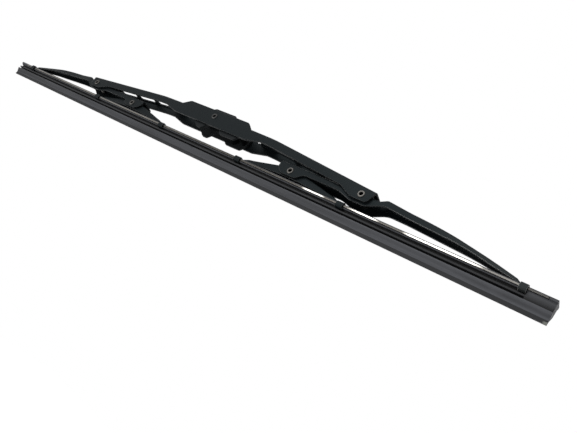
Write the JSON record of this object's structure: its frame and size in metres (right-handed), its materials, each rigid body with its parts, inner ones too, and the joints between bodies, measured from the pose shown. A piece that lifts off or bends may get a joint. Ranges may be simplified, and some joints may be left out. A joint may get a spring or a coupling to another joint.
{
  "type": "wiper blade",
  "caption": "Windscreen wiper blade: a stamped steel bridge and riveted yokes whose claws hold a rubber strip, with a plastic adapter for a hook-ended wiper arm.",
  "frame": {"origin": "middle of the centre pin, where the hook of the wiper arm is held", "axes": "+X along the blade, +Y across it towards the rivet heads, +Z away from the glass"},
  "size_m": [0.565, 0.0176, 0.0436],
  "materials": {
    "black_paint": "satin",
    "blade_rubber": "matte",
    "spring_steel": "bright",
    "rivet_steel": "dull",
    "adapter_plastic": "matte",
    "liner_plastic": "matte"
  },
  "bodies": {
    "adapter": {"arm_adapter": "adapter_plastic"},
    "bridge": {"main_bridge": "black_paint", "centre_pin": "rivet_steel", "bridge_rivet_left": "rivet_steel", "bridge_rivet_right": "rivet_steel", "bridge_liner_left": "liner_plastic", "bridge_liner_right": "liner_plastic", "wiping_rubber": "blade_rubber", "flexor_strip_front": "spring_steel", "flexor_strip_rear": "spring_steel"},
    "yoke_left": {"secondary_yoke_left": "black_paint", "yoke_rivet_left": "rivet_steel", "yoke_liner_left": "liner_plastic"},
    "yoke_right": {"secondary_yoke_right": "black_paint", "yoke_rivet_right": "rivet_steel", "yoke_liner_right": "liner_plastic"},
    "claws_left": {"claw_yoke_left": "black_paint"},
    "claws_right": {"claw_yoke_right": "black_paint"}
  },
  "joints": [
    {"name": "bridge_tilt", "type": "hinge", "parent": "adapter", "child": "bridge", "pos_m": [0, 0, 0], "axis": [0, 1, 0], "range_deg": [-10, 10]},
    {"name": "yoke_right_swing", "type": "hinge", "parent": "bridge", "child": "yoke_right", "pos_m": [0.151, 0, -0.0126], "axis": [0, 1, 0], "range_deg": [-3, 3], "stiffness_Nm_per_rad": 2, "deforming": ["wiping_rubber", "flexor_strip_front", "flexor_strip_rear"]},
    {"name": "yoke_left_swing", "type": "hinge", "parent": "bridge", "child": "yoke_left", "pos_m": [-0.151, 0, -0.0126], "axis": [0, 1, 0], "range_deg": [-3, 3], "deforming": ["wiping_rubber", "flexor_strip_front", "flexor_strip_rear"]},
    {"name": "claws_right_swing", "type": "hinge", "parent": "yoke_right", "child": "claws_right", "pos_m": [0.093, 0, -0.0163], "axis": [0, 1, 0], "range_deg": [-1.4, 1.4], "deforming": ["wiping_rubber", "flexor_strip_front", "flexor_strip_rear"]},
    {"name": "claws_left_swing", "type": "hinge", "parent": "yoke_left", "child": "claws_left", "pos_m": [-0.093, 0, -0.0163], "axis": [0, 1, 0], "range_deg": [-1.4, 1.4], "deforming": ["wiping_rubber", "flexor_strip_front", "flexor_strip_rear"]}
  ],
  "couplings": [
    {"joint": "yoke_left_swing", "follows": "yoke_right_swing", "ratio": -1},
    {"joint": "claws_right_swing", "follows": "yoke_right_swing", "ratio": -0.455},
    {"joint": "claws_left_swing", "follows": "yoke_right_swing", "ratio": 0.455}
  ]
}
